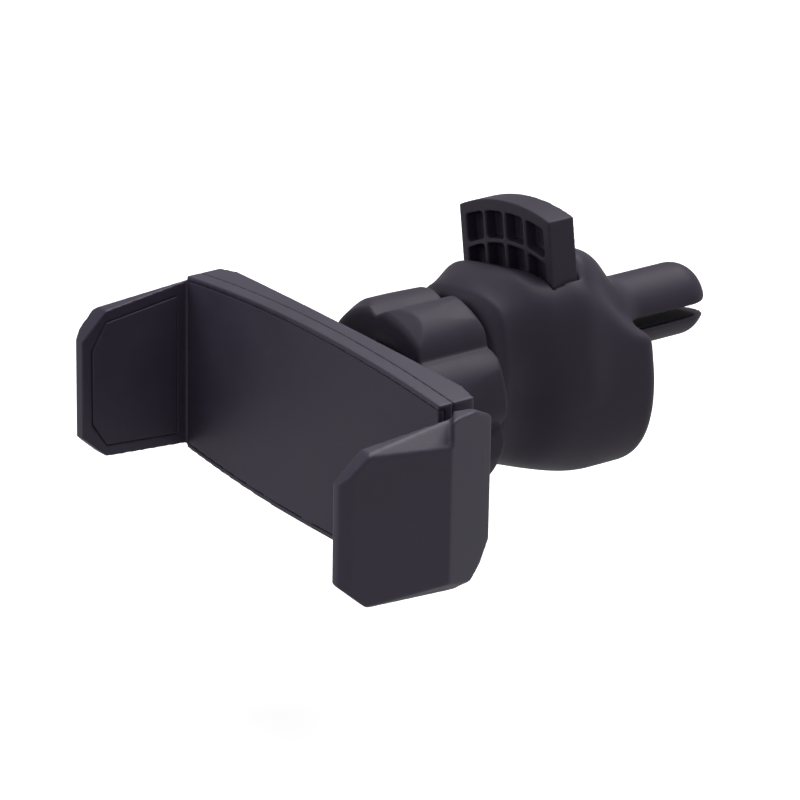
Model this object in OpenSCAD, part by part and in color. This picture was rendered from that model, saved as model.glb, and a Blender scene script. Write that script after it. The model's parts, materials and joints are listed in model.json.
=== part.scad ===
// Phone holder for a car air vent.
// A spring-loaded two-jaw cradle stands on a ball joint with a lobed clamping nut.
// Behind the nut a domed body carries a two-prong clip, opened by a press tab on top.
// Millimetres. X runs across the phone, Y towards the vent, Z up.
// The origin is the middle of the clip slot, at its open end.

/* [Cradle] */
// Width of the front plate between its ends
plate_w = 60; // [56:1:70]
// Gap between the plate end and the closed sliding jaw
jaw_gap = 2.6; // [2:0.1:4]
// Travel of the sliding jaw
jaw_travel = 25; // [15:1:27]
// Height of the plate at its ends
plate_h = 26.4; // [26:0.1:30]
// How far the plate bulges at its middle, on each edge
plate_bulge = 1.7; // [0.8:0.1:3]
// Depth of the cradle housing at its middle
housing_d = 8.6; // [8.6:0.1:10]
// How much shallower the housing is at its ends
housing_arch = 2.8; // [1.5:0.1:3]
// Wall of the two housing shells
shell_wall = 1.3; // [1.1:0.1:1.4]
// Thickness of the soft pads
pad_t = 1; // [0.8:0.1:1.2]

/* [Jaws] */
// Depth of the jaws in front of the plate
jaw_d = 18.5; // [14:0.1:24]
// Thickness of the jaws at their root
jaw_t = 3.6; // [3.2:0.1:5]
// Half height of the jaws at their root
jaw_half_h = 12.5; // [11:0.1:13]
// Lean of the jaw faces towards the phone, in degrees
jaw_toe = 3.1; // [0:0.1:6]
// Depth of the corner chamfer at the front of the jaws
jaw_corner_d = 4.2; // [3:0.1:6]
// Height of that corner chamfer
jaw_corner_h = 3.7; // [2:0.1:5]
// Thickness of the sliding tongue
tongue_t = 1.6; // [1.4:0.1:1.7]
// Half height of the sliding tongue
tongue_half_h = 7.2; // [7:0.1:7.4]

/* [Ball joint] */
// Diameter of the ball
ball_d = 17; // [15:0.5:17.5]
// Diameter of the neck behind the cradle
neck_d = 7.6; // [6:0.1:8.4]
// Distance from the plate front to the ball centre
ball_to_plate = 18; // [17.6:0.1:20]
// Thickness of the two loose friction liners
liner_t = 0.85; // [0.7:0.05:1]
// Outer diameter of the clamping nut over its lobes
nut_d = 30; // [29:0.5:32]
// Length of the clamping nut
nut_len = 12; // [11.4:0.1:12.6]
// Number of lobes on the nut
nut_lobes = 7; // [5:1:8]

/* [Vent body] */
// Half width of the body at its rim
body_half_w = 13.2; // [13:0.1:16]
// Height of the front dome above the ball axis
dome_h = 16.4; // [15.8:0.1:17]
// Depth of the skirt below the ball axis
skirt_h = 16.4; // [16.2:0.1:20]
// Distance from the ball centre to the rear rim
body_len = 35.5; // [35:0.1:38]
// Wall of the hollow skirt
skirt_wall = 2; // [1.6:0.1:2.4]
// Roll of the vent body against the cradle at rest, in degrees
head_roll = 9; // [0:1:15]
// Sideways offset of the cradle middle from the ball
cradle_dx = 1.5; // [0:0.1:3]

/* [Clip] */
// Distance from the ball centre to the tip of the prongs
reach = 52.8; // [50:0.1:58]
// Diameter of the pair of prongs
clip_d = 10.8; // [10:0.1:11.6]
// Height of the prong axis above the ball axis
clip_h = 4.6; // [4.2:0.1:5.2]
// Width of the slot that takes the vent blade
slot_gap = 1.8; // [1.2:0.1:2.2]
// How far the slot lies below the prong axis
slot_drop = 1.3; // [1:0.1:1.6]
// Depth of the slot
slot_depth = 16.4; // [12:0.1:18]
// Travel of the press tab and the lower prong
press_travel = 4.5; // [3:0.1:5]
// Thickness of the rubber prong pads
prong_pad_t = 0.8; // [0.6:0.1:1]

/* [Press tab] */
// Width of the tab
tab_w = 21; // [18:0.5:21]
// Thickness of the tab
tab_t = 4.5; // [4:0.1:4.6]
// Height of the tab's top above the ball axis
tab_top = 24.8; // [23:0.1:26]
// Radius of the tab's curved top
tab_arc_r = 31; // [24:1:50]
// Number of hollow cells across the tab
tab_cells = 4; // [3:1:5]
// Height of each row of cells
cell_h = 4; // [3:0.1:4.2]
// Rib between the cells
cell_rib = 0.7; // [0.6:0.1:1]

/* [Fits] */
// Running clearance of sliding and turning plastic
run_clear = 0.1; // [0.05:0.01:0.15]
// Clearance around a piece that is held still
seat_clear = 0.05; // [0.02:0.01:0.1]
// Air between pieces that move past each other
air = 0.3; // [0.2:0.05:0.4]

/* [Hidden] */
eps = 0.01;
big = 200;
fine = 96;

// Frames
slot_v = clip_h - slot_drop;
ball_at = [slot_v * sin(head_roll), -reach, -slot_v * cos(head_roll)];
cradle_at = ball_at + [cradle_dx, -ball_to_plate, 0];

// Cradle levels, measured back from the plate front
pad_back = pad_t;
shell_back = pad_back + shell_wall;
tongue_front = shell_back + run_clear;
tongue_back = tongue_front + tongue_t;
half_w = plate_w / 2;
end_d = housing_d - housing_arch;
cover_wall = shell_wall;
mid_half_h = plate_h / 2 + plate_bulge;
barrel_r = (half_w * half_w + plate_bulge * plate_bulge) / (2 * plate_bulge);
arch_r = (half_w * half_w + housing_arch * housing_arch) / (2 * housing_arch);
jaw_x = half_w + jaw_gap;

// Jaw outline
jaw_taper = 0.1;
jaw_bevel_x = 0.94 * jaw_t;
jaw_bevel_z = 2.7;
jaw_bend_y = -2.4;
jaw_rear_y = housing_d - 2;
jaw_lean_out = 1.3;
jaw_edge = 1.3;
root_lap = 1;
root_step = 0.2;
jaw_sink = 0.02;
rear_inset = 3.2;
rear_cut_y = 5.4;
rear_cut_z = 5.8;
rear_mid_y = 1.9;
rear_mid_z = 2.9;
rear_top_y = 3.4;
rear_top_z = 1.3;
rear_turn_y = 0.25;
rear_turn_z = 0.8;
root_round = 0.5;
slider_rise = 1.2;
wall_step = 1.4;
pad_inset = 1.8;
pad_proud = 0.1;
pad_margin = 0.7;
pad_end = 0.25;
rail_in = tongue_half_h - 1.3;

// Springs and posts of the sliding jaw
spring_z = 4;
spring_r = 1.15;
spring_wire = 0.45;
post_r = 0.75;
leg_half = 0.21;
loop_r = post_r + leg_half + 0.12;
post_top = tongue_back + 0.8;
anchor_x = -half_w + 3.6;
hook_x = 0;
spring_y = tongue_front + 1.4;
window_half = spring_r + spring_wire / 2 + air;
window_end = hook_x + 2 * (loop_r + leg_half) + air;
tongue_end_x = -half_w + 8;
catch_h = 1;
catch_l = 2.4;
stop_l = 1.6;
stop_x = tongue_end_x + catch_l + jaw_travel + run_clear;

// Cover screws
screw_x = half_w - 5.5;
screw_z = 10;
boss_r = 2.3;
screw_r = 1;
screw_head_r = 1.9;
screw_head_t = 1.1;
screw_seat = end_d - 0.2;
screw_slack = 0.15;
boss_face = end_d - cover_wall - 1;

// Ball joint
ball_r = ball_d / 2;
liner_in_r = ball_r + run_clear / 2;
liner_out_r = liner_in_r + liner_t;
seat_r = liner_out_r + run_clear;
liner_gap = 2.2;
liner_front = 4;
liner_rear = 6.6;
flange_r = 5.5;
flange_t = 1.4;
flange_back = housing_d - cover_wall - 0.35;
neck_r = neck_d / 2;
nut_front = -4.6;
nut_rear = nut_front + nut_len;
socket_r = seat_r + 1.5;
nut_bore_r = socket_r + run_clear;
socket_front = -0.8;
socket_slot = 1.2;
nut_chamfer = 1.4;
nut_core_r = 12.6;
lobe_r = 6.2;
lobe_turn = 19;
funnel_r = 10.8;
funnel_d = 0.8;
funnel_back = nut_front + funnel_d;
nut_mouth_r = sqrt(seat_r * seat_r - funnel_back * funnel_back);

// Vent body
body_front = nut_rear + 0.8;
body_steps = 18;
body_sides = 32;
tab_front = 19.4;
tab_back = tab_front + tab_t;
tab_mid = tab_front + tab_t / 2;
tab_half = tab_w / 2;
stem_half = tab_half - 4.5;
shoulder_v = 9;
cell_d = 2;
hump_top = 17.3;
hump_r = 3;
hump_half = tab_half - 3.1;
hump_len = body_len - tab_back - hump_r;
hump_fall = 1.9;
hump_foot = 6;
stem_bottom = -3.2;
floor_v = -12.6;
plate_front = body_len - 4;
rear_plate_t = 1.8;
plate_screw_u = 6.3;
plate_screw_v = -9.4;
boss_start = tab_back + 0.8;
plate_recess = 0.9;
plate_screw_l = min(5, plate_front + rear_plate_t - plate_recess - boss_start - 0.2);
nose_start = tab_back - 2;
nose_end = reach - slot_depth + 3;
nose_half = 12.6;
nose_top = 15.3;
nose_low = 3;
nose_dip = 0.15;
nose_steps = 8;
slot_root = reach - slot_depth;

// Clip
clip_r = clip_d / 2;
tip_round = 4;
slot_top = slot_v + slot_gap / 2;
slot_bottom = slot_v - slot_gap / 2;
bar_half = clip_r;
bar_bottom = clip_h - clip_r;
bar_front = tab_back + air;
tenon_half = 3.4;
pin_r = 1;
pin_half = stem_half - 0.6;
pad_half = 3.4;
pad_from_tip = 2.6;

// Press springs
press_spring_r = 1.8;
press_wire = 0.5;
press_u = stem_half - 2.3;
peg_r = 1.1;
peg_h = 1.4;

// Smooth step from 0 to 1 between two places
function ease(a, b, t) = let (k = min(1, max(0, (t - a) / (b - a)))) k * k * (3 - 2 * k);

// Rounded opening quarter: rises from 0 at a to 1 at b like the edge of an ellipse
function bulb(a, b, t) = let (k = min(1, max(0, (t - a) / (b - a)))) sqrt(1 - pow(1 - k, 2));

// Half width, top and bottom of the vent body at a distance behind the ball centre
front_half = 11.6;
waist_half = 12.9;
collar_h = 14.8;
rim_top = 5;
belly_h = 12;
rim_round = 1.6;
nose_lip = 0.4;
dome_round = 8;
waist_start = body_front + 1;
waist_end = body_front + 10;
crown_start = tab_front - 4.4;
crown_end = tab_front + 0.6;
fall_start = tab_back - 1.9;
flare_end = body_len - 1.5;
skirt_end = body_len - 7.5;
square_start = body_front + 2.8;
function rim_close(t) = rim_round * (1 - bulb(0, rim_round, body_len - t));
function body_half(t) = front_half + (waist_half - front_half) * ease(waist_start, waist_end, t)
    + (body_half_w - waist_half) * ease(fall_start, flare_end, t) - rim_close(t);
function body_top(t) = front_half
    + (dome_h - front_half) * bulb(body_front + nose_lip, body_front + dome_round, t)
    - (dome_h - collar_h) * ease(crown_start, crown_end, t)
    - (collar_h - rim_top) * ease(fall_start, body_len, t) - rim_close(t);
function body_bottom(t) = front_half + (belly_h - front_half) * ease(body_front, waist_end, t)
    + (skirt_h - belly_h) * ease(body_front, skirt_end, t) - rim_close(t);
function roundness(t) = 2.2 + 2.4 * ease(square_start, crown_end, t);

// One cross-section of the vent body, drawn in by a wall thickness
function body_ring(t, wall) = [for (i = [0:body_sides - 1])
    let (
        a = 360 * i / body_sides,
        n = sin(a) > 0 ? roundness(t) : 2.3,
        w = body_half(t) - wall,
        h = (sin(a) > 0 ? body_top(t) : body_bottom(t)) - wall
    )
    super_point(a, n, w, h, t, 0)];

// Point of a superellipse of exponent n at angle a, with its middle at height v
function super_point(a, n, w, h, t, v) =
    [w * sign(cos(a)) * pow(abs(cos(a)), 2 / n), t, v + h * sign(sin(a)) * pow(abs(sin(a)), 2 / n)];

// Stations along the body, closer together where its ends are rounded
function body_station(k, a, b) = a + (b - a) * (k - 0.11 * sin(360 * k));

// Solid between two stations of the body
module body_loft(a, b, wall, steps) {
    skin([for (k = [0:steps]) body_ring(body_station(k / steps, a, b), wall)], steps);
}

// Solid skinned over closed rings of body_sides points
module skin(rings, steps) {
    points = [for (r = rings) for (p = r) p];
    n = body_sides;
    sides = [for (k = [0:steps - 1]) for (i = [0:n - 1])
        [k * n + i, k * n + (i + 1) % n, (k + 1) * n + (i + 1) % n, (k + 1) * n + i]];
    front = [[for (i = [n - 1:-1:0]) i]];
    rear = [[for (i = [0:n - 1]) steps * n + i]];
    polyhedron(points, concat(sides, front, rear), convexity = 4);
}

// Places a piece that belongs to the cradle
module in_cradle() {
    translate(cradle_at) children();
}

// Places a piece that belongs to the ball joint, without the roll of the body
module at_ball() {
    translate(ball_at) children();
}

// Places a piece that belongs to the vent body, which is rolled about the slot
module in_head() {
    rotate([0, -head_roll, 0]) translate([0, -reach, -slot_v]) children();
}

// Barrel outline of the plate, shrunk by one margin on its edges and another at its ends
module barrel_outline(margin, end) {
    r = barrel_r;
    h = mid_half_h - margin;
    intersection() {
        square([plate_w - 2 * end, 2 * h], center = true);
        translate([0, h - r]) circle(r, $fn = 720);
        translate([0, r - h]) circle(r, $fn = 720);
    }
}

// Slab with the barrel outline between two depths
module barrel_slab(y0, y1, margin) {
    translate([0, y1, 0]) rotate([90, 0, 0]) linear_extrude(y1 - y0) barrel_outline(margin, margin);
}

// Sheet in the plate's face that stops short of the fixed jaw
module face_sheet(front, grow, end) {
    left = pad_end - grow - half_w;
    translate([0, pad_back, 0]) rotate([90, 0, 0]) linear_extrude(pad_back - front) intersection() {
        barrel_outline(pad_margin - grow, end);
        translate([left, -big / 2]) square([big, big]);
    }
}

// Everything in front of the arched back, drawn in by a wall
module arch_limit(wall) {
    translate([0, housing_d - wall - arch_r, -big / 2]) cylinder(h = big, r = arch_r, $fn = 720);
}

// Side outline of a jaw in depth and height, shrunk by a margin, from its root to its front
module jaw_side(margin) {
    front = -jaw_d + margin;
    corner = -jaw_d + jaw_corner_d;
    root = jaw_half_h - margin;
    shoulder = root - jaw_taper * (jaw_d - jaw_corner_d);
    nose = shoulder - jaw_corner_h;
    polygon([[root_lap, root], [0, root], [corner, shoulder], [front, nose],
        [front, -nose], [corner, -shoulder], [0, -root], [root_lap, -root]]);
}

// A jaw wall with its outer face at the right: plain inner face, bevelled outer edges
module jaw_wall() {
    outer = jaw_t - tan(jaw_toe) * jaw_bend_y;
    low = jaw_half_h - jaw_bevel_z;
    intersection() {
        rotate([90, 0, 90]) linear_extrude(outer) jaw_side(0);
        translate([0, root_lap, 0]) rotate([90, 0, 0]) linear_extrude(jaw_d + root_lap)
            polygon([[0, jaw_half_h], [outer - jaw_bevel_x, jaw_half_h], [outer, low],
                [outer, -low], [outer - jaw_bevel_x, -jaw_half_h], [0, -jaw_half_h]]);
        translate([0, 0, -big / 2]) linear_extrude(big)
            polygon([[0, root_lap], [jaw_t - wall_step, root_lap], [outer, jaw_bend_y],
                [outer - jaw_lean_out, -jaw_d + jaw_edge], [outer - jaw_lean_out - 0.7 * jaw_edge, -jaw_d],
                [0, -jaw_d]]);
    }
}

// Root of a jaw beside the housing end, let into the plate by a lap, with its own top bevel
module jaw_root(lap, rise, inset, drop) {
    low = jaw_half_h - jaw_bevel_z;
    mid_z = jaw_half_h - rear_mid_z;
    end_z = jaw_half_h - rear_cut_z;
    top = jaw_half_h + rise;
    intersection() {
        translate([0, jaw_rear_y, 0]) rotate([90, 0, 0]) linear_extrude(jaw_rear_y - jaw_bend_y)
            polygon([[-lap, top], [jaw_t - inset, top], [jaw_t, top - drop],
                [jaw_t, -low], [jaw_t - jaw_bevel_x, -jaw_half_h], [-lap, -jaw_half_h]]);
        translate([0, 0, -big / 2]) linear_extrude(big)
            polygon([[-lap, root_step], [root_step, root_step], [jaw_t, jaw_bend_y],
                [jaw_t - rear_inset, jaw_rear_y], [0, jaw_rear_y], [0, shell_back], [-lap, shell_back]]);
        rotate([90, 0, 90]) translate([0, 0, -lap]) linear_extrude(jaw_t + lap)
            polygon([[jaw_bend_y, top], [jaw_rear_y - rear_top_y, jaw_half_h + 0.6 * rise],
                [jaw_rear_y - rear_turn_y, jaw_half_h - rear_turn_z],
                [jaw_rear_y, jaw_half_h - rear_top_z], [jaw_rear_y, -end_z],
                [jaw_rear_y - rear_mid_y, -mid_z], [jaw_rear_y - rear_cut_y, -jaw_half_h],
                [jaw_bend_y, -jaw_half_h]]);
    }
}

// Leans a jaw about its root line and sinks it a little into the plate's end
module lean() {
    rotate([0, 0, -jaw_toe]) translate([-jaw_sink, 0, 0]) children();
}

// Pad of a jaw: lies in the inner face, inset from the rim
module jaw_pad(t, grow) {
    translate([-pad_proud, 0, 0]) rotate([90, 0, 90]) linear_extrude(t + pad_proud)
        difference() {
            jaw_side(pad_inset - grow);
            translate([grow - pad_inset, -big / 2]) square([big, big]);
        }
}

// Round wire bent into a helix about X, starting at the origin
module coil(r, wire, length, turns) {
    per = 8;
    sides = 6;
    steps = turns * per;
    function at(k) = let (a = 360 * k / per) [length * k / steps, r * cos(a), r * sin(a)];
    points = [for (k = [0:steps]) for (i = [0:sides - 1])
        let (a = 360 * k / per, b = 360 * i / sides, q = r + wire / 2 * cos(b))
        [at(k)[0] + wire / 2 * sin(b), q * cos(a), q * sin(a)]];
    faces = [for (k = [0:steps - 1]) for (i = [0:sides - 1])
        let (j = (i + 1) % sides)
        [k * sides + j, (k + 1) * sides + j, (k + 1) * sides + i, k * sides + i]];
    cap_a = [[for (i = [sides - 1:-1:0]) i]];
    cap_b = [[for (i = [0:sides - 1]) steps * sides + i]];
    polyhedron(points, concat(faces, cap_a, cap_b), convexity = 8);
}

// Extension spring: a coil with an end loop round each post and a short straight leg between
module return_spring() {
    length = hook_x - anchor_x - 2 * loop_r;
    leg = spring_r + spring_wire;
    translate([anchor_x, spring_y, 0]) {
        translate([loop_r, 0, 0]) coil(spring_r, spring_wire, length, 14);
        for (x = [0, hook_x - anchor_x]) translate([x, 0, 0]) loop();
        for (x = [loop_r, hook_x - anchor_x - loop_r])
            translate([x - leg_half, -leg_half, -leg_half]) cube([2 * leg_half, leg, 2 * leg_half]);
    }
}

// Flat loop of spring wire round a post
module loop() {
    rotate([90, 0, 0]) difference() {
        cylinder(h = 2 * leg_half, r = loop_r + leg_half, center = true, $fn = 24);
        cylinder(h = 1, r = loop_r - leg_half, center = true, $fn = 24);
    }
}

// Front shell of the cradle with the fixed jaw in one piece
module front_shell() {
    color("#26262b") in_cradle() difference() {
        union() {
            barrel_slab(0, shell_back, 0);
            mirror([1, 0, 0]) translate([half_w, 0, 0]) {
                lean() jaw_wall();
                jaw_root(pad_margin - 0.2, 0, jaw_bevel_x, jaw_bevel_z);
            }
            for (z = [-spring_z, spring_z])
                translate([anchor_x, post_top, z]) rotate([90, 0, 0])
                    cylinder(h = post_top - shell_back + eps, r = post_r, $fn = 32);
            for (z = [tongue_half_h + air, -tongue_half_h - air - catch_h])
                translate([stop_x, shell_back - eps, z]) cube([stop_l, tongue_t, catch_h]);
            for (x = [-screw_x, screw_x]) for (z = [-screw_z, screw_z])
                translate([x, boss_face, z]) rotate([90, 0, 0])
                    cylinder(h = boss_face - shell_back + eps, r = boss_r, $fn = 48);
        }
        face_sheet(-1, 0, -1);
        for (x = [-screw_x, screw_x]) for (z = [-screw_z, screw_z])
            translate([x, housing_d, z]) rotate([90, 0, 0])
                cylinder(h = housing_d - shell_back + 0.2, r = screw_r, $fn = 32);
        mirror([1, 0, 0]) translate([half_w, 0, 0]) lean() jaw_pad(pad_t - pad_proud, seat_clear);
    }
}

// Arched back cover with rails, screw seats and the neck hole
module back_cover() {
    mouth_front = tongue_front - run_clear;
    color("#2b2b30") in_cradle() difference() {
        intersection() {
            barrel_slab(shell_back, housing_d, 0);
            arch_limit(0);
            rear_bevel();
        }
        difference() {
            intersection() {
                barrel_slab(shell_back - 1, housing_d, cover_wall);
                arch_limit(cover_wall);
            }
            for (s = [-1, 1])
                translate([-half_w, tongue_back + run_clear, s > 0 ? rail_in : -tongue_half_h])
                    cube([plate_w, housing_d, tongue_half_h - rail_in]);
            for (x = [-screw_x, screw_x]) for (z = [-screw_z, screw_z])
                translate([x, housing_d, z]) rotate([90, 0, 0])
                    cylinder(h = housing_d - boss_face, r = boss_r, $fn = 48);
        }
        translate([half_w - cover_wall - 1, mouth_front - 1, -tongue_half_h - run_clear])
            cube([cover_wall + 2, tongue_t + 2 * run_clear + 1, 2 * (tongue_half_h + run_clear)]);
        for (x = [-screw_x, screw_x]) for (z = [-screw_z, screw_z])
            translate([x, housing_d, z]) rotate([90, 0, 0]) {
                cylinder(h = housing_d, r = screw_r + screw_slack, $fn = 32);
                translate([0, 0, -eps])
                    cylinder(h = housing_d - screw_seat + eps, r = screw_head_r + seat_clear, $fn = 32);
            }
        translate([-cradle_dx, housing_d + 1, 0]) rotate([90, 0, 0])
            cylinder(h = cover_wall + 3, r = neck_r + seat_clear, $fn = fine);
    }
}

// Chamfers along the rear top and bottom edges of the cover
module rear_bevel() {
    b = 1.2;
    c = 1.9;
    translate([-big / 2, 0, 0]) rotate([90, 0, 90]) linear_extrude(big)
        polygon([[0, -mid_half_h], [end_d - b, -mid_half_h], [housing_d, b + c - mid_half_h],
            [housing_d, mid_half_h - b - c], [end_d - b, mid_half_h], [0, mid_half_h]]);
}

// Soft pad on the plate
module plate_pad() {
    color("#1d1d20") in_cradle() face_sheet(0, -seat_clear, seat_clear);
}

// Soft pad in the fixed jaw
module fixed_jaw_pad() {
    color("#1d1d20") in_cradle() mirror([1, 0, 0]) translate([half_w, 0, 0])
        lean() jaw_pad(pad_t - pad_proud, 0);
}

// Four countersunk screws that close the cradle
module cover_screws() {
    color("#8a8a90") in_cradle()
        for (x = [-screw_x, screw_x]) for (z = [-screw_z, screw_z])
            translate([x, screw_seat, z]) rotate([90, 0, 0]) {
                cylinder(h = screw_seat - shell_back, r = screw_r - seat_clear, $fn = 32);
                translate([0, 0, -screw_head_t]) cylinder(h = screw_head_t, r = screw_head_r, $fn = 32);
            }
}

// Ball, neck and the flange that the back cover traps
module ball_stud() {
    color("#1a1a1d") at_ball() {
        sphere(ball_r, $fn = fine);
        rotate([90, 0, 0]) cylinder(h = ball_to_plate - flange_back + eps, r = neck_r, $fn = fine);
        translate([0, flange_back - ball_to_plate, 0]) rotate([90, 0, 0])
            cylinder(h = flange_t, r = flange_r, $fn = fine);
    }
}

// Sliding jaw with its tongue
module sliding_jaw() {
    color("#26262b") in_cradle() difference() {
        union() {
            translate([jaw_x, 0, 0]) {
                lean() jaw_wall();
                jaw_root(0, slider_rise, root_round, root_round);
            }
            translate([half_w + air, tongue_front, -tongue_half_h - 1.6])
                cube([jaw_gap - air + 1, tongue_t + 1, 2 * tongue_half_h + 3.2]);
            translate([tongue_end_x, tongue_front, -tongue_half_h])
                cube([jaw_x - tongue_end_x + 1, tongue_t, 2 * tongue_half_h]);
            for (z = [tongue_half_h - eps, -tongue_half_h - catch_h + eps])
                translate([tongue_end_x, tongue_front, z]) cube([catch_l, tongue_t, catch_h]);
        }
        for (z = [-spring_z, spring_z])
            translate([tongue_end_x - 1, tongue_front - 1, z - window_half])
                cube([window_end - tongue_end_x + 1, tongue_t + 2, 2 * window_half]);
        translate([jaw_x, 0, 0]) lean() jaw_pad(pad_t - pad_proud, seat_clear);
    }
    color("#26262b") in_cradle() for (z = [-spring_z, spring_z]) hook_post(z);
}

// Post on a thin arm of the tongue that holds the spring's moving loop
module hook_post(z) {
    translate([hook_x, tongue_back, z]) rotate([90, 0, 0])
        cylinder(h = tongue_t, r = post_r, $fn = 32);
    translate([hook_x, tongue_front, z - post_r * 0.7])
        cube([window_end - hook_x + 1, 0.4, post_r * 1.4]);
}

// Soft pad in the sliding jaw
module sliding_jaw_pad() {
    color("#1d1d20") in_cradle() translate([jaw_x, 0, 0]) lean() jaw_pad(pad_t - pad_proud, 0);
}

// Return springs in the windows of the tongue
module return_spring_upper() {
    color("#b0b0b4") in_cradle() translate([0, 0, spring_z]) return_spring();
}

module return_spring_lower() {
    color("#b0b0b4") in_cradle() translate([0, 0, -spring_z]) return_spring();
}

// Spherical shell of liner thickness between two planes across the ball axis
module liner(y0, y1) {
    at_ball() intersection() {
        difference() {
            sphere(liner_out_r, $fn = fine);
            sphere(liner_in_r, $fn = fine);
        }
        translate([0, y1, 0]) rotate([90, 0, 0]) cylinder(h = y1 - y0, r = ball_d, $fn = fine);
    }
}

// Friction ring in front of the ball's middle
module front_liner() {
    color("#3a3a40") liner(-liner_front, -liner_gap / 2);
}

// Friction cup behind the ball's middle
module rear_liner() {
    color("#3a3a40") liner(liner_gap / 2, liner_rear);
}

// Lobed outline of the clamping nut
module nut_outline() {
    r = nut_d / 2;
    circle(nut_core_r, $fn = fine);
    for (i = [0:nut_lobes - 1])
        rotate(lobe_turn + 360 * i / nut_lobes) translate([r - lobe_r, 0]) circle(lobe_r, $fn = 64);
}

// Clamping nut with finger lobes, a spherical seat and a bore for its thread
module clamp_nut() {
    r = nut_d / 2;
    color("#232327") at_ball() difference() {
        intersection() {
            translate([0, nut_rear, 0]) rotate([90, 0, 0]) linear_extrude(nut_len) nut_outline();
            translate([0, nut_rear, 0]) rotate([90, 0, 0]) rotate_extrude($fn = fine)
                polygon([[0, 0], [r - 0.9, 0], [r - 0.3, 0.6], [r + 0.1, nut_len - nut_chamfer - 1.5],
                    [r - nut_chamfer + 0.3, nut_len - 0.3], [r - nut_chamfer - 0.6, nut_len], [0, nut_len]]);
        }
        sphere(seat_r, $fn = fine);
        translate([0, nut_rear + 1, 0]) rotate([90, 0, 0])
            cylinder(h = nut_rear + 1 - socket_front + air, r = nut_bore_r, $fn = fine);
        translate([0, funnel_back, 0]) rotate([90, 0, 0])
            cylinder(h = funnel_d + eps, r1 = nut_mouth_r, r2 = funnel_r, $fn = fine);
    }
}

// Low hump behind the tab, smooth and narrower to the back
module rear_hump() {
    front = tab_back + 1.6;
    rear = tab_back + hump_len;
    top = hump_top - hump_r;
    hull() for (s = [-1, 1]) {
        translate([s * hump_half, front, top]) sphere(hump_r, $fn = 24);
        translate([s * 0.6 * hump_half, rear - 2, top - hump_fall]) sphere(hump_r, $fn = 24);
        translate([s * hump_half, front, hump_foot]) sphere(hump_r, $fn = 24);
        translate([s * 0.5 * hump_half, rear, hump_foot]) sphere(hump_r, $fn = 24);
    }
}

// Round bar of the clip with a rounded tip, from a start to the tip
module clip_bar(start) {
    length = reach - start;
    round_to = clip_r - tip_round;
    translate([0, start, clip_h]) rotate([-90, 0, 0]) rotate_extrude($fn = 64)
        difference() {
            square([clip_r, length]);
            translate([round_to, length - tip_round]) difference() {
                square([tip_round + 1, tip_round + 1]);
                circle(tip_round, $fn = 32);
            }
        }
}

// Flare that blends the body into the clip, a concave sweep of shrinking sections
function nose_fall(t, power) = pow(1 - (t - nose_start) / (nose_end - nose_start), power);
function nose_ring(t) = [for (i = [0:body_sides - 1])
    let (
        a = 360 * i / body_sides,
        end = clip_r - nose_dip,
        top = end + (nose_top - clip_h - end) * nose_fall(t, 1.6),
        low = end + (nose_low + nose_dip) * nose_fall(t, 1.5),
        w = end + (nose_half - end) * nose_fall(t, 2.1),
        n = 2 + 1.8 * nose_fall(t, 1)
    )
    super_point(a, n, w, sin(a) > 0 ? top : low, t, clip_h)];

module nose() {
    pitch = (nose_end - nose_start) / nose_steps;
    skin([for (k = [0:nose_steps]) nose_ring(nose_start + pitch * k)], nose_steps);
}

// Body of the vent clip with the socket, dome, skirt, nose and fixed upper prong
module vent_body() {
    color("#232327") in_head() difference() {
        union() {
            body_loft(body_front, body_len, 0, body_steps);
            rear_hump();
            translate([0, body_front + 1, 0]) rotate([90, 0, 0])
                cylinder(h = body_front + 1 - socket_front, r = socket_r, $fn = 64);
            nose();
            clip_bar(tab_back + 3);
        }
        sphere(seat_r, $fn = 48);
        for (a = [0, 90]) rotate([0, a + 45, 0])
            translate([-socket_slot / 2, socket_front - 1, -socket_r - 1])
                cube([socket_slot, 6.2, 2 * socket_r + 2]);
        translate([-tab_half - run_clear, tab_front - run_clear, shoulder_v - press_travel - air])
            cube([tab_w + 2 * run_clear, tab_t + 2 * run_clear, big]);
        translate([-stem_half - run_clear, tab_front - run_clear, floor_v])
            cube([2 * (stem_half + run_clear), tab_t + 2 * run_clear, -floor_v + shoulder_v]);
        skirt_cavity();
        translate([-bar_half - air, tab_back, bar_bottom - press_travel - air])
            cube([2 * (bar_half + air), reach, slot_bottom + air - bar_bottom + press_travel + air]);
        translate([-clip_r - 1, slot_root, slot_bottom - clip_r])
            cube([clip_d + 2, reach, slot_top - slot_bottom + clip_r]);
        translate([-clip_r - 6, body_len + 0.4, -clip_r * 2])
            cube([clip_d + 12, reach, slot_bottom + air + clip_r * 2]);
        prong_pad_pocket(seat_clear);
    }
    color("#232327") in_head() {
        for (s = [-1, 1]) {
            plate_boss(s);
            spring_peg(s, floor_v, peg_h);
        }
    }
}

// Hollow of the skirt, open to the rear and closed by the rear plate
module skirt_cavity() {
    intersection() {
        body_loft(tab_back - run_clear, body_len, skirt_wall, 8);
        translate([-big / 2, 0, floor_v - 6]) cube([big, big, slot_bottom + air - floor_v + 6]);
    }
    intersection() {
        body_loft(body_len - 4, body_len - 1.7, skirt_wall, 4);
        translate([-big / 2, 0, floor_v - 6]) cube([big, big, slot_bottom + air - floor_v + 6]);
    }
}

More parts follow.
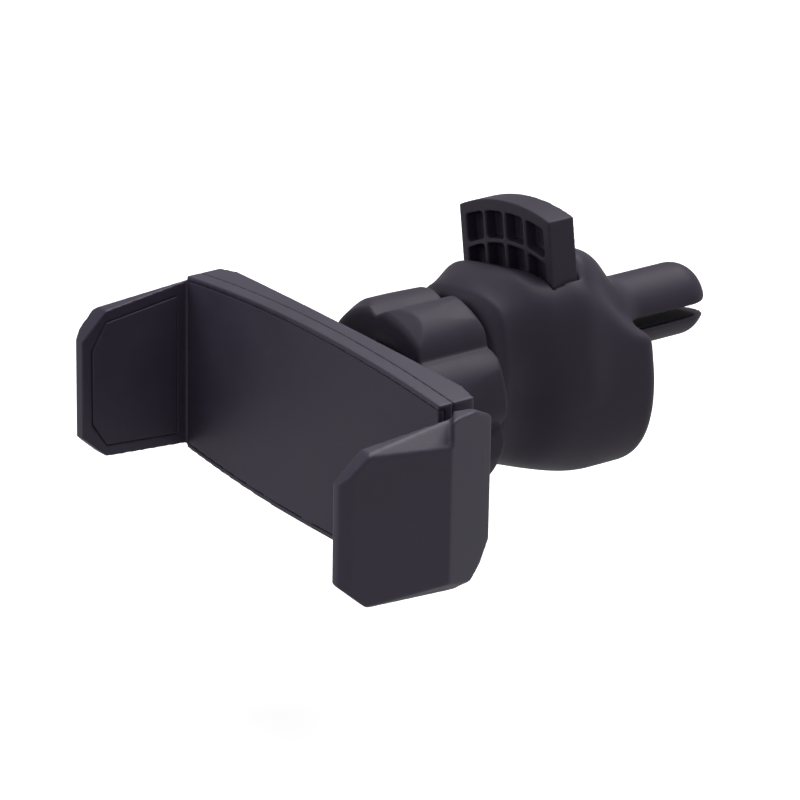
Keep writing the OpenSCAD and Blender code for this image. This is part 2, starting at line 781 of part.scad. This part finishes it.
// Boss for one screw of the rear plate, on a rib that stands on the skirt
module plate_boss(s) {
    difference() {
        union() {
            translate([s * plate_screw_u, plate_front, plate_screw_v]) rotate([90, 0, 0])
                cylinder(h = plate_front - boss_start, r = 2, $fn = 48);
            translate([s * plate_screw_u - 1, boss_start, plate_screw_v - 4])
                cube([2, plate_front - boss_start, 4]);
        }
        translate([s * plate_screw_u, plate_front + eps, plate_screw_v]) rotate([90, 0, 0])
            cylinder(h = plate_screw_l, r = screw_r, $fn = 32);
    }
}

// Peg that centres a press spring
module spring_peg(s, v, h) {
    translate([s * press_u, tab_mid, v - eps]) cylinder(h = h, r = peg_r, $fn = 32);
}

// Plate that closes the skirt round the lower prong
module rear_plate() {
    color("#2b2b30") in_head() difference() {
        intersection() {
            body_loft(body_len - 5, body_len - 1.7, skirt_wall + seat_clear, 6);
            translate([-big / 2, plate_front, floor_v - 6])
                cube([big, rear_plate_t, slot_bottom - floor_v + 6]);
        }
        translate([-bar_half - air, 0, bar_bottom - press_travel - air])
            cube([2 * (bar_half + air), reach, big]);
        for (s = [-1, 1])
            translate([s * plate_screw_u, plate_front + rear_plate_t, plate_screw_v]) rotate([90, 0, 0]) {
                cylinder(h = rear_plate_t + 1, r = screw_r + screw_slack, $fn = 32);
                translate([0, 0, -1])
                    cylinder(h = plate_recess + 1, r = screw_head_r + seat_clear, $fn = 32);
            }
    }
}

// Two screws of the rear plate
module rear_plate_screws() {
    color("#8a8a90") in_head() for (s = [-1, 1])
        translate([s * plate_screw_u, plate_front + rear_plate_t - plate_recess, plate_screw_v])
            rotate([90, 0, 0]) {
                translate([0, 0, -eps])
                    cylinder(h = plate_screw_l + eps, r = screw_r - seat_clear, $fn = 32);
                translate([0, 0, -screw_head_t]) cylinder(h = screw_head_t, r = screw_head_r, $fn = 32);
            }
}

// Pocket and pad share one shape: a strip in the flat of the upper prong
module prong_strip(v0, v1, grow) {
    translate([-pad_half - grow, slot_root + 1 - grow, v0])
        cube([2 * (pad_half + grow), slot_depth - 1 - pad_from_tip + 2 * grow, v1 - v0]);
}

module prong_pad_pocket(grow) {
    prong_strip(slot_top - 1, slot_top + prong_pad_t - 0.2 + grow, grow);
}

// Rubber pad of the upper prong, a little proud of its flat
module upper_prong_pad() {
    color("#141416") in_head() prong_strip(slot_top - 0.2, slot_top + prong_pad_t - 0.2, 0);
}

// Rubber pad of the lower prong
module lower_prong_pad() {
    color("#141416") in_head() prong_strip(slot_bottom - prong_pad_t + 0.2, slot_bottom + 0.2, 0);
}

// Outline of the tab seen from the front, lowered by a margin under its curved top
module tab_outline(drop, half, bottom) {
    intersection() {
        translate([-half, bottom]) square([2 * half, tab_top - bottom]);
        translate([0, tab_top - tab_arc_r]) circle(tab_arc_r - drop, $fn = 360);
    }
}

// One hollow cell of the tab between two depths under the curved top
module tab_cell(i, drop) {
    rim = 1.5;
    pitch = (tab_w - 2 * rim + cell_rib) / tab_cells;
    x0 = -tab_half + rim + pitch * i;
    offset(r = 0.5, $fn = 16) offset(delta = -0.5) intersection() {
        difference() {
            tab_outline(drop, tab_half, 0);
            translate([0, tab_top - tab_arc_r]) circle(tab_arc_r - drop - cell_h, $fn = 360);
        }
        translate([x0, 0]) square([pitch - cell_rib, tab_top]);
    }
}

// Press tab with two rows of hollow cells and the stem that carries the lower prong
module press_tab() {
    color("#2b2b30") in_head() difference() {
        union() {
            translate([0, tab_back, 0]) rotate([90, 0, 0]) linear_extrude(tab_t)
                tab_outline(0, tab_half, shoulder_v);
            translate([-stem_half, tab_front, stem_bottom])
                cube([2 * stem_half, tab_t, shoulder_v - stem_bottom + 1]);
            for (s = [-1, 1]) translate([s * press_u, tab_mid, stem_bottom - peg_h])
                cylinder(h = peg_h + eps, r = peg_r, $fn = 32);
        }
        for (row = [0, 1]) for (i = [0:tab_cells - 1])
            translate([0, tab_front + cell_d, 0]) rotate([90, 0, 0]) linear_extrude(tab_t)
                tab_cell(i, 1.7 + row * (cell_h + cell_rib));
        translate([-tenon_half - seat_clear, tab_front - 1, bar_bottom - seat_clear])
            cube([2 * (tenon_half + seat_clear), tab_t + 2, slot_bottom - bar_bottom + 2 * seat_clear]);
        pin_hole(seat_clear);
    }
}

// Bore for the carriage pin
module pin_hole(grow) {
    translate([0, tab_mid, (bar_bottom + slot_bottom) / 2]) rotate([0, 90, 0])
        cylinder(h = 2 * pin_half, r = pin_r + grow, center = true, $fn = 48);
}

// Lower prong with the bar and tenon that hang on the tab's stem
module lower_prong() {
    color("#232327") in_head() difference() {
        union() {
            intersection() {
                clip_bar(body_len - 6);
                translate([-clip_r, 0, bar_bottom - 1]) cube([clip_d, reach, slot_bottom - bar_bottom + 1]);
            }
            translate([-bar_half + 0.6, bar_front, bar_bottom])
                cube([2 * bar_half - 1.2, body_len - 5 - bar_front, slot_bottom - bar_bottom]);
            translate([-tenon_half, tab_front + 0.2, bar_bottom])
                cube([2 * tenon_half, bar_front - tab_front, slot_bottom - bar_bottom]);
        }
        pin_hole(seat_clear);
        prong_strip(slot_bottom - prong_pad_t + 0.2 - seat_clear, slot_bottom + 1, seat_clear);
    }
}

// Steel pin through the stem and the tenon
module carriage_pin() {
    color("#b0b0b4") in_head() pin_hole(0);
}

// Compression springs under the tab's stem
module press_spring(s) {
    length = stem_bottom - floor_v - press_wire;
    in_head() translate([s * press_u, tab_mid, floor_v + press_wire / 2]) rotate([0, -90, 0])
        coil(press_spring_r, press_wire, length, 5);
}

module press_spring_left() {
    color("#b0b0b4") press_spring(-1);
}

module press_spring_right() {
    color("#b0b0b4") press_spring(1);
}

front_shell();
back_cover();
plate_pad();
fixed_jaw_pad();
cover_screws();
ball_stud();
sliding_jaw();
sliding_jaw_pad();
return_spring_upper();
return_spring_lower();
front_liner();
rear_liner();
clamp_nut();
vent_body();
rear_plate();
rear_plate_screws();
upper_prong_pad();
press_tab();
lower_prong();
lower_prong_pad();
carriage_pin();
press_spring_left();
press_spring_right();
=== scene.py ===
"""Looks of the phone holder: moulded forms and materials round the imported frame. Lengths in millimetres unless said."""

import json
import math

import bpy
import bmesh
import numpy as np
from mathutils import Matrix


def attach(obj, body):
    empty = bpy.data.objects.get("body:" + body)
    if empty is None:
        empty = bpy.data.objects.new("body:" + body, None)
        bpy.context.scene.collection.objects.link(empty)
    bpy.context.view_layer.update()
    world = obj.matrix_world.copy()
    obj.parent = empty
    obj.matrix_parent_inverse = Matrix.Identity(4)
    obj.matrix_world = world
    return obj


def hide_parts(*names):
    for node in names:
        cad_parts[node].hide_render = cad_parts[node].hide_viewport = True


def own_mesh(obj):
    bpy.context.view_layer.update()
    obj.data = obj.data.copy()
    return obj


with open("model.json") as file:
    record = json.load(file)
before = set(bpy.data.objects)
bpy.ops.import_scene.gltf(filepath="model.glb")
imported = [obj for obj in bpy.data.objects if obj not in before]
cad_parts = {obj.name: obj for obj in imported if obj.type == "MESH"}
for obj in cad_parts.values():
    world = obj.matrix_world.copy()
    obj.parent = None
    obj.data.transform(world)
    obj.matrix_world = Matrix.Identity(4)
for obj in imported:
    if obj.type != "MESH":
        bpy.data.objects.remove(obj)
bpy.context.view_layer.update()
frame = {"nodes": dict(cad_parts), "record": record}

import openvdb
from mathutils import Matrix, Vector

MM = 0.001
scene = bpy.context.scene
NODES = frame["nodes"]

# ---------------------------------------------------------------- frames
ROLL = math.radians(9)
REACH = 52.8
SLOT_V = 3.3
BALL = np.array([SLOT_V * math.sin(ROLL), -REACH, -SLOT_V * math.cos(ROLL)])
CRADLE = BALL + np.array([1.5, -18.0, 0.0])


def head_to_row(p):
    """Points of the vent body's own frame (across, behind the ball, up) to the row frame."""
    p = np.asarray(p, float)
    u, t, v = p[..., 0], p[..., 1] - REACH, p[..., 2] - SLOT_V
    c, s = math.cos(ROLL), math.sin(ROLL)
    return np.stack([u * c - v * s, t, u * s + v * c], -1)


# ---------------------------------------------------------------- mesh helpers
def add_object(name, points, faces, smooth=True):
    """New object from points in millimetres of the row frame."""
    mesh = bpy.data.meshes.new(name)
    mesh.from_pydata([tuple(p) for p in np.asarray(points) * MM], [], [tuple(int(i) for i in f) for f in faces])
    mesh.validate()
    mesh.update()
    obj = bpy.data.objects.new(name, mesh)
    scene.collection.objects.link(obj)
    if smooth:
        mesh.shade_smooth()
    return obj


def apply_all(obj):
    """Replaces an object's mesh by the result of its modifiers."""
    graph = bpy.context.evaluated_depsgraph_get()
    mesh = bpy.data.meshes.new_from_object(obj.evaluated_get(graph))
    obj.modifiers.clear()
    obj.data = mesh
    mesh.shade_smooth()
    return obj


def adopt(obj, body, slot, material, *nodes):
    """Gives a piece its material and body, and lets it stand for its CAD nodes."""
    obj.data.materials.clear()
    obj.data.materials.append(material)
    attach(obj, body)
    if nodes:
        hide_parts(*nodes)
    return obj


def bevel_backing(bm):
    """Strips behind the cover's long bevels, so that the wall keeps its thickness there."""
    section = [(5.21, 14.38), (7.9, 12.3), (7.3, 11.5), (4.6, 13.6)]
    for s in (-1, 1):
        ends = []
        for x in (-14.2, 14.2):
            points = [(np.array([x, y, s * z]) + CRADLE) * MM for y, z in section]
            ends.append([bm.verts.new(tuple(p)) for p in points])
        a, b = ends
        sides = [(a[i], a[(i + 1) % 4], b[(i + 1) % 4], b[i]) for i in range(4)]
        faces = [bm.faces.new(f) for f in sides + [a, b]]
        bmesh.ops.recalc_face_normals(bm, faces=faces)


def soften(node, name, voxel, passes, faces, factor=0.5):
    """Copy of a CAD node with its edges rounded as a mould leaves them."""
    mesh = NODES[node].data.copy()
    mesh.materials.clear()
    bm = bmesh.new()
    bm.from_mesh(mesh)
    if node == "back_cover":
        bevel_backing(bm)
    bmesh.ops.remove_doubles(bm, verts=bm.verts, dist=1e-7)
    bm.to_mesh(mesh)
    bm.free()
    obj = bpy.data.objects.new(name, mesh)
    scene.collection.objects.link(obj)
    remesh = obj.modifiers.new("remesh", "REMESH")
    remesh.mode = "VOXEL"
    remesh.voxel_size = voxel * MM
    remesh.adaptivity = 0.0
    if passes:
        smooth = obj.modifiers.new("smooth", "SMOOTH")
        smooth.factor = factor
        smooth.iterations = passes
    apply_all(obj)
    count = 2 * len(obj.data.polygons)
    if count > faces:
        thin = obj.modifiers.new("thin", "DECIMATE")
        thin.ratio = faces / count
        apply_all(obj)
    return obj


# ---------------------------------------------------------------- fields on a grid
def smin(a, b, k):
    """Smooth union of two distance fields."""
    h = np.clip(0.5 + 0.5 * (b - a) / k, 0, 1)
    return b + (a - b) * h - k * h * (1 - h)


def smax(a, b, k):
    """Smooth intersection of two distance fields."""
    return -smin(-a, -b, k)


def even(field, step):
    """Field scaled so that it grows by about one millimetre in a millimetre."""
    gx, gy, gz = np.gradient(field, step)
    return field / np.maximum(np.sqrt(gx * gx + gy * gy + gz * gz), 0.35)


def box_field(p, lo, hi):
    q = [np.maximum(lo[i] - p[i], p[i] - hi[i]) for i in range(3)]
    outside = np.sqrt(sum(np.maximum(c, 0) ** 2 for c in q))
    return outside + np.minimum(np.maximum(np.maximum(q[0], q[1]), q[2]), 0)


def rod_field(radial, along, r, lo, hi, edge):
    """Cylinder between two places, with a rounded far end."""
    q0 = radial - (r - edge)
    q1 = along - (hi - edge)
    tip = np.sqrt(np.maximum(q0, 0) ** 2 + np.maximum(q1, 0) ** 2) + np.minimum(np.maximum(q0, q1), 0) - edge
    return np.maximum(tip, lo - along)


def grid_points(lo, hi, step):
    axes = [np.arange(lo[i], hi[i] + step, step, dtype=np.float32) for i in range(3)]
    return np.meshgrid(*axes, indexing="ij")


def skin(name, field, lo, step, place, faces):
    """Closed mesh over the zero level of a field."""
    grid = openvdb.FloatGrid(4.0)
    grid.copyFromArray(np.clip(field, -4, 4).astype(np.float32))
    points, triangles, quads = grid.convertToPolygons(0.0, 0.0)
    points = place(np.asarray(points, float) * step + np.array(lo))
    tris = [tuple(t) for t in triangles]
    polys = [tuple(q) for q in quads] + tris
    obj = add_object(name, points, polys)
    bm = bmesh.new()
    bm.from_mesh(obj.data)
    bmesh.ops.recalc_face_normals(bm, faces=bm.faces)
    bm.to_mesh(obj.data)
    bm.free()
    count = 2 * len(polys)
    if count > faces:
        thin = obj.modifiers.new("thin", "DECIMATE")
        thin.ratio = faces / count
        apply_all(obj)
    return obj


# ---------------------------------------------------------------- materials
def ramp(nodes, links, source, stops):
    node = nodes.new("ShaderNodeValToRGB")
    ramp_ = node.color_ramp
    while len(ramp_.elements) < len(stops):
        ramp_.elements.new(0.5)
    for element, (place, colour) in zip(ramp_.elements, stops):
        element.position = place
        element.color = colour
    links.new(source, node.inputs["Fac"])
    return node


def moulded(name, colour, rough, grain=0.35, depth=0.012, mottle=0.12, spec=0.5, metal=0.0, streak=0.0, coat=0.0):
    """Moulded plastic or rubber: fine grain, soft flow mottling and slightly uneven gloss."""
    mat = bpy.data.materials.new(name)
    mat.use_nodes = True
    nodes, links = mat.node_tree.nodes, mat.node_tree.links
    shader = nodes["Principled BSDF"]
    shader.inputs["Specular IOR Level"].default_value = spec
    shader.inputs["Metallic"].default_value = metal
    shader.inputs["Coat Weight"].default_value = coat
    shader.inputs["Coat Roughness"].default_value = 0.12
    place = nodes.new("ShaderNodeTexCoord")

    fine = nodes.new("ShaderNodeTexNoise")
    fine.inputs["Scale"].default_value = 1000 / grain
    fine.inputs["Detail"].default_value = 2
    fine.inputs["Roughness"].default_value = 0.55
    links.new(place.outputs["Object"], fine.inputs["Vector"])

    broad = nodes.new("ShaderNodeTexNoise")
    broad.inputs["Scale"].default_value = 90
    broad.inputs["Detail"].default_value = 3
    broad.inputs["Roughness"].default_value = 0.6
    links.new(place.outputs["Object"], broad.inputs["Vector"])

    low = [c * (1 - mottle) for c in colour] + [1]
    high = [c * (1 + mottle) for c in colour] + [1]
    tone = ramp(nodes, links, broad.outputs["Fac"], [(0.3, low), (0.7, high)])
    links.new(tone.outputs["Color"], shader.inputs["Base Color"])

    gloss = nodes.new("ShaderNodeMapRange")
    gloss.inputs["From Min"].default_value = 0.3
    gloss.inputs["From Max"].default_value = 0.7
    gloss.inputs["To Min"].default_value = rough - 0.05
    gloss.inputs["To Max"].default_value = rough + 0.06
    links.new(broad.outputs["Fac"], gloss.inputs["Value"])
    links.new(gloss.outputs["Result"], shader.inputs["Roughness"])

    height = fine.outputs["Fac"]
    if streak:
        lines = nodes.new("ShaderNodeTexNoise")
        lines.inputs["Scale"].default_value = 1200
        stretch = nodes.new("ShaderNodeMapping")
        stretch.inputs["Scale"].default_value = (1, 0.03, 1)
        links.new(place.outputs["Object"], stretch.inputs["Vector"])
        links.new(stretch.outputs["Vector"], lines.inputs["Vector"])
        mix = nodes.new("ShaderNodeMix")
        mix.inputs[0].default_value = streak
        links.new(fine.outputs["Fac"], mix.inputs[2])
        links.new(lines.outputs["Fac"], mix.inputs[3])
        height = mix.outputs[0]
    bump = nodes.new("ShaderNodeBump")
    bump.inputs["Strength"].default_value = 1.0
    bump.inputs["Distance"].default_value = depth * MM
    links.new(height, bump.inputs["Height"])
    links.new(bump.outputs["Normal"], shader.inputs["Normal"])
    return mat


SHELL = moulded("shell_plastic", (0.047, 0.038, 0.066), 0.46, grain=0.30, depth=0.008, spec=0.4)
BODY = moulded("body_plastic", (0.039, 0.031, 0.050), 0.52, grain=0.45, depth=0.005, spec=0.24)
BALLS = moulded("ball_plastic", (0.010, 0.010, 0.012), 0.14, grain=0.8, depth=0.001, coat=0.4)
LINER = moulded("liner_plastic", (0.05, 0.05, 0.055), 0.3, grain=0.6, depth=0.003)
PAD = moulded("soft_pad", (0.048, 0.039, 0.067), 0.52, grain=0.22, depth=0.012, spec=0.36)
RUBBER = moulded("prong_rubber", (0.035, 0.031, 0.042), 0.6, grain=0.25, depth=0.02, spec=0.35)
STEEL = moulded("steel", (0.55, 0.55, 0.56), 0.3, grain=0.5, depth=0.004, metal=1.0, streak=0.6)

FINISH = {
    "shell_plastic": SHELL,
    "body_plastic": BODY,
    "ball_plastic": BALLS,
    "liner_plastic": LINER,
    "soft_pad": PAD,
    "prong_rubber": RUBBER,
    "steel": STEEL,
}
for part in frame["record"]["subparts"]:
    data = NODES[part["node"]].data
    data.materials.clear()
    data.materials.append(FINISH[part["material_slot"]])
    data.shade_smooth() if part["material_slot"] in ("ball_plastic", "liner_plastic", "steel") else None

# ---------------------------------------------------------------- vent body
BODY_FRONT = 8.2
BODY_LEN = 35.5
TAB_FRONT, TAB_BACK = 19.4, 23.9
SLOT_TOP, SLOT_BOTTOM = 4.2, 2.4
CLIP_H, CLIP_R, TIP_ROUND = 4.6, 5.4, 4.0
SLOT_ROOT = 36.4
TAB_HALF, STEM_HALF, SHOULDER_V, TRAVEL = 10.5, 6.0, 9.0, 4.5
FLOOR_V = -12.6
RUN, AIR = 0.1, 0.3


def ease(a, b, t):
    k = np.clip((t - a) / (b - a), 0, 1)
    return k * k * (3 - 2 * k)


def bulb(a, b, t):
    k = np.clip((t - a) / (b - a), 0, 1)
    return np.sqrt(np.maximum(1 - (1 - k) ** 2, 0))


def body_half(t):
    return 11.6 + 1.3 * ease(9.2, 18.2, t) + 0.3 * ease(22, 34, t)


def body_top(t):
    return 11.6 + 4.8 * bulb(8.6, 16.2, t) - 1.6 * ease(15, 20, t) - 9.8 * ease(22, 35.5, t)


def body_bottom(t):
    return 11.6 + 0.4 * ease(8.2, 18.2, t) + 4.4 * ease(8.2, 28, t)


def super_field(u, v, w, h, n):
    g = ((np.abs(u) / w) ** n + (np.abs(v) / h) ** n) ** (1 / n)
    return (g - 1) * np.minimum(w, h)


def make_vent_body():
    step = 0.32
    lo, hi = (-16.0, -2.4, -19.2), (16.0, 54.4, 19.6)
    u, t, v = grid_points(lo, hi, step)
    tc = np.clip(t, BODY_FRONT, BODY_LEN)
    upper = ease(-5, 5, v)
    h = body_bottom(tc) + (body_top(tc) - body_bottom(tc)) * upper
    n = 2.3 + (2.4 * ease(11, 20, tc) - 0.1) * upper
    hollow = 2.6 * np.exp(-(((tc - 14) / 4) ** 2) - ((v + 1) / 7.5) ** 2)
    body = even(super_field(u, v, body_half(tc) - hollow, h, n), step)
    inner = body + 2.0
    shell = smax(smax(body, BODY_FRONT - t, 0.5), t - BODY_LEN, 2.4)

    past = np.clip((t - 21.9) / (39.4 - 21.9), 0, 1)
    fall = 1 - 1.15 * past**2 / (past + 0.15)
    nw = CLIP_R - 0.15 + 7.35 * fall**1.6
    ntop = CLIP_R - 0.15 + 5.45 * fall**1.6
    nlow = CLIP_R - 0.15 + 3.0 * fall**1.5
    nose = even(super_field(u, v - CLIP_H, nw, nlow + (ntop - nlow) * ease(-0.4, 9.6, v), 2 + 1.8 * fall), step)
    nose = np.maximum(nose + 3.5 * (1 - ease(15, 25, t)) + 3.0 * ease(34.5, 42, t), np.maximum(12 - t, t - 46))
    bar = rod_field(np.sqrt(u * u + (v - CLIP_H) ** 2), t, CLIP_R, 26.9, REACH, TIP_ROUND)

    hump_w = 10.2 - 3.4 * ease(24.5, 34, t)
    hump_top = 17.3 - 2.6 * ease(26, 34, t)
    hump_end = 35.0 - 1.6 * np.clip((v - 6) / 10, 0, 1)
    hump = smax(smax(np.abs(u) - hump_w, v - hump_top, 4.5), t - hump_end, 4.5)
    hump = hump + 3.5 * (1 - ease(1, 9, v)) + 4.0 * (1 - ease(20, 26, t))
    hump = np.maximum(hump, np.maximum(TAB_FRONT - t, -2 - v))

    solid = smin(shell, nose, 4.2)
    solid = smin(solid, hump, 2.6)
    solid = smin(solid, bar, 2.0)
    socket = rod_field(np.sqrt(u * u + v * v), t, 11.0, -0.8, 9.2, 0.01)
    solid = np.minimum(solid, socket)

    p = (u, t, v)
    cut = [
        box_field(p, (-TAB_HALF - RUN, TAB_FRONT - RUN, SHOULDER_V - TRAVEL - AIR), (TAB_HALF + RUN, TAB_BACK + RUN, 60)),
        box_field(p, (-STEM_HALF - RUN, TAB_FRONT - RUN, FLOOR_V), (STEM_HALF + RUN, TAB_BACK + RUN, SHOULDER_V)),
        box_field(p, (-CLIP_R - AIR, TAB_BACK, -0.8 - TRAVEL - AIR), (CLIP_R + AIR, 80, SLOT_BOTTOM + AIR)),
        box_field(p, (-12, SLOT_ROOT, -20), (12, 80, SLOT_TOP)),
        box_field(p, (-12, BODY_LEN + 0.4, -20), (12, 80, SLOT_BOTTOM + AIR)),
        box_field(p, (-3.45, 37.35, SLOT_TOP - 1), (3.45, 50.25, SLOT_TOP + 0.65)),
        np.maximum(np.maximum(inner, TAB_BACK - RUN - t), np.maximum(v - SLOT_BOTTOM - AIR, FLOOR_V - 5.2 - v)),
    ]
    for c, k in zip(cut, (0.35, 0.35, 0.35, 1.0, 0.35, 0.2, 0.35)):
        solid = smax(solid, -c, k)
    solid = np.maximum(solid, -(np.sqrt(u * u + t * t + v * v) - 9.5))
    for a in (45, 135):
        across = np.abs(u * math.cos(math.radians(a)) + v * math.sin(math.radians(a)))
        solid = np.maximum(solid, -np.maximum(across - 0.6, np.maximum(-3 - t, t - 4.4)))
    for s in (-1, 1):
        post = rod_field(np.sqrt((u - 6.3 * s) ** 2 + (v + 9.4) ** 2), t, 2.0, 24.7, 31.5, 0.2)
        rib = box_field(p, (6.3 * s - 1, 24.7, -13.4), (6.3 * s + 1, 31.5, -9.4))
        hole = np.maximum(np.sqrt((u - 6.3 * s) ** 2 + (v + 9.4) ** 2) - 1.0, 25.5 - t)
        solid = np.maximum(np.minimum(solid, np.minimum(post, rib)), -hole)
        peg = rod_field(np.sqrt((u - 3.7 * s) ** 2 + (t - 21.65) ** 2), v, 1.1, FLOOR_V - 0.5, FLOOR_V + 1.4, 0.3)
        solid = np.minimum(solid, peg)
    return skin("vent_body_form", solid, lo, step, head_to_row, 150000)


adopt(make_vent_body(), "head", "body_plastic", BODY, "vent_body")

# ---------------------------------------------------------------- softened shells
PIECES = [
    ("front_shell", "front_shell_form", "cradle", "shell_plastic", 0.18, 1, 120000),
    ("back_cover", "back_cover_form", "cradle", "shell_plastic", 0.18, 1, 90000),
    ("plate_pad", "plate_pad_form", "cradle", "soft_pad", 0.2, 2, 30000),
    ("fixed_jaw_pad", "fixed_jaw_pad_form", "cradle", "soft_pad", 0.12, 3, 30000),
    ("sliding_jaw", "sliding_jaw_form", "slider", "shell_plastic", 0.2, 18, 90000),
    ("sliding_jaw_pad", "sliding_jaw_pad_form", "slider", "soft_pad", 0.12, 3, 30000),
    ("clamp_nut", "clamp_nut_form", "nut", "body_plastic", 0.25, 5, 90000),
    ("press_tab", "press_tab_form", "press", "body_plastic", 0.15, 4, 90000),
    ("lower_prong", "lower_prong_form", "press", "body_plastic", 0.2, 4, 40000),
    ("rear_plate", "rear_plate_form", "head", "body_plastic", 0.15, 3, 30000),
]
for node, name, body, slot, voxel, passes, faces in PIECES:
    adopt(soften(node, name, voxel, passes, faces), body, slot, FINISH[slot], node)

# ---------------------------------------------------------------- springs
for side_ in ("upper", "lower"):
    node = "return_spring_" + side_
    adopt(soften(node, node + "_form", 0.11, 2, 24000), "cradle", "steel", STEEL, node)

for side_ in ("left", "right"):
    node = "press_spring_" + side_
    coil = adopt(soften(node, node + "_form", 0.11, 2, 12000), "head", "steel", STEEL, node)
    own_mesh(coil)

# ---------------------------------------------------------------- camera, at the photograph's viewing angle
AZ, EL, TURN = (math.radians(a) for a in (53.229, 21.845, 1.058))
DISTANCE = 633.94
FOCAL_PX = 4568.5
back = np.array([math.sin(AZ) * math.cos(EL), -math.cos(AZ) * math.cos(EL), math.sin(EL)])
side = np.array([math.cos(AZ), math.sin(AZ), 0.0])
rise = np.cross(back, side)
aim = CRADLE + 12.725 * side + 4.070 * rise
right = math.cos(TURN) * side + math.sin(TURN) * rise
up = -math.sin(TURN) * side + math.cos(TURN) * rise
camera_data = bpy.data.cameras.new("camera")
camera_data.sensor_width = 36
camera_data.lens = FOCAL_PX / 800 * 36
camera_data.clip_start = 0.01
camera_data.clip_end = 20
camera = bpy.data.objects.new("camera", camera_data)
scene.collection.objects.link(camera)
turn = Matrix((right, up, back)).transposed().to_4x4()
camera.matrix_world = Matrix.Translation(Vector((aim + DISTANCE * back) * MM)) @ turn
scene.camera = camera


# ---------------------------------------------------------------- floor, backdrop and light
def pure_white(name, ground):
    """White to the camera and in reflections, and an ordinary pale surface to the light."""
    mat = bpy.data.materials.new(name)
    mat.use_nodes = True
    nodes, links = mat.node_tree.nodes, mat.node_tree.links
    nodes.clear()
    out = nodes.new("ShaderNodeOutputMaterial")
    diffuse = nodes.new("ShaderNodeBsdfDiffuse")
    diffuse.inputs["Color"].default_value = (ground, ground, ground, 1)
    glow = nodes.new("ShaderNodeEmission")
    glow.inputs["Color"].default_value = (1, 1, 1, 1)
    glow.inputs["Strength"].default_value = 0.62
    both = nodes.new("ShaderNodeAddShader")
    path = nodes.new("ShaderNodeLightPath")
    seen = nodes.new("ShaderNodeMath")
    seen.operation = "MAXIMUM"
    links.new(path.outputs["Is Camera Ray"], seen.inputs[0])
    links.new(path.outputs["Is Transmission Ray"], seen.inputs[1])
    soft = nodes.new("ShaderNodeMath")
    soft.operation = "MULTIPLY"
    soft.inputs[1].default_value = 0.28
    links.new(path.outputs["Is Glossy Ray"], soft.inputs[0])
    most = nodes.new("ShaderNodeMath")
    most.operation = "MAXIMUM"
    links.new(seen.outputs[0], most.inputs[0])
    links.new(soft.outputs[0], most.inputs[1])
    mix = nodes.new("ShaderNodeMixShader")
    links.new(diffuse.outputs[0], both.inputs[0])
    links.new(glow.outputs[0], both.inputs[1])
    links.new(most.outputs[0], mix.inputs[0])
    bounce = nodes.new("ShaderNodeBsdfDiffuse")
    bounce.inputs["Color"].default_value = (0.3, 0.3, 0.3, 1)
    links.new(bounce.outputs[0], mix.inputs[1])
    links.new(both.outputs[0], mix.inputs[2])
    links.new(mix.outputs[0], out.inputs["Surface"])
    return mat


floor = add_object("floor", [(-3000, -3000, -46), (3000, -3000, -46), (3000, 3000, -46), (-3000, 3000, -46)], [(0, 1, 2, 3)])
floor.data.materials.append(pure_white("floor_white", 0.8))

world = bpy.data.worlds.new("world")
scene.world = world
world.use_nodes = True
wn, wl = world.node_tree.nodes, world.node_tree.links
wn.clear()
w_out = wn.new("ShaderNodeOutputWorld")
w_light = wn.new("ShaderNodeBackground")
w_light.inputs["Color"].default_value = (1, 1, 1, 1)
w_light.inputs["Strength"].default_value = 0.36
w_seen = wn.new("ShaderNodeBackground")
w_seen.inputs["Color"].default_value = (1, 1, 1, 1)
w_seen.inputs["Strength"].default_value = 1.0
w_path = wn.new("ShaderNodeLightPath")
w_mix = wn.new("ShaderNodeMixShader")
wl.new(w_path.outputs["Is Camera Ray"], w_mix.inputs[0])
wl.new(w_light.outputs[0], w_mix.inputs[1])
wl.new(w_seen.outputs[0], w_mix.inputs[2])
wl.new(w_mix.outputs[0], w_out.inputs["Surface"])


def area(name, place, target, size, power):
    """Square soft box, placed in millimetres."""
    data = bpy.data.lights.new(name, "AREA")
    data.shape = "SQUARE"
    data.size = size * MM
    data.energy = power
    obj = bpy.data.objects.new(name, data)
    scene.collection.objects.link(obj)
    obj.location = Vector(place) * MM
    obj.rotation_euler = (Vector(target) - Vector(place)).to_track_quat("-Z", "Y").to_euler()


area("key", (-60, 260, 590), (0, -40, 0), 560, 4.3)
area("fill", (620, -420, 160), (0, -40, 0), 420, 0.12)
area("front", (-260, -620, 260), (0, -40, 0), 420, 0.9)
scene.view_settings.view_transform = "Standard"
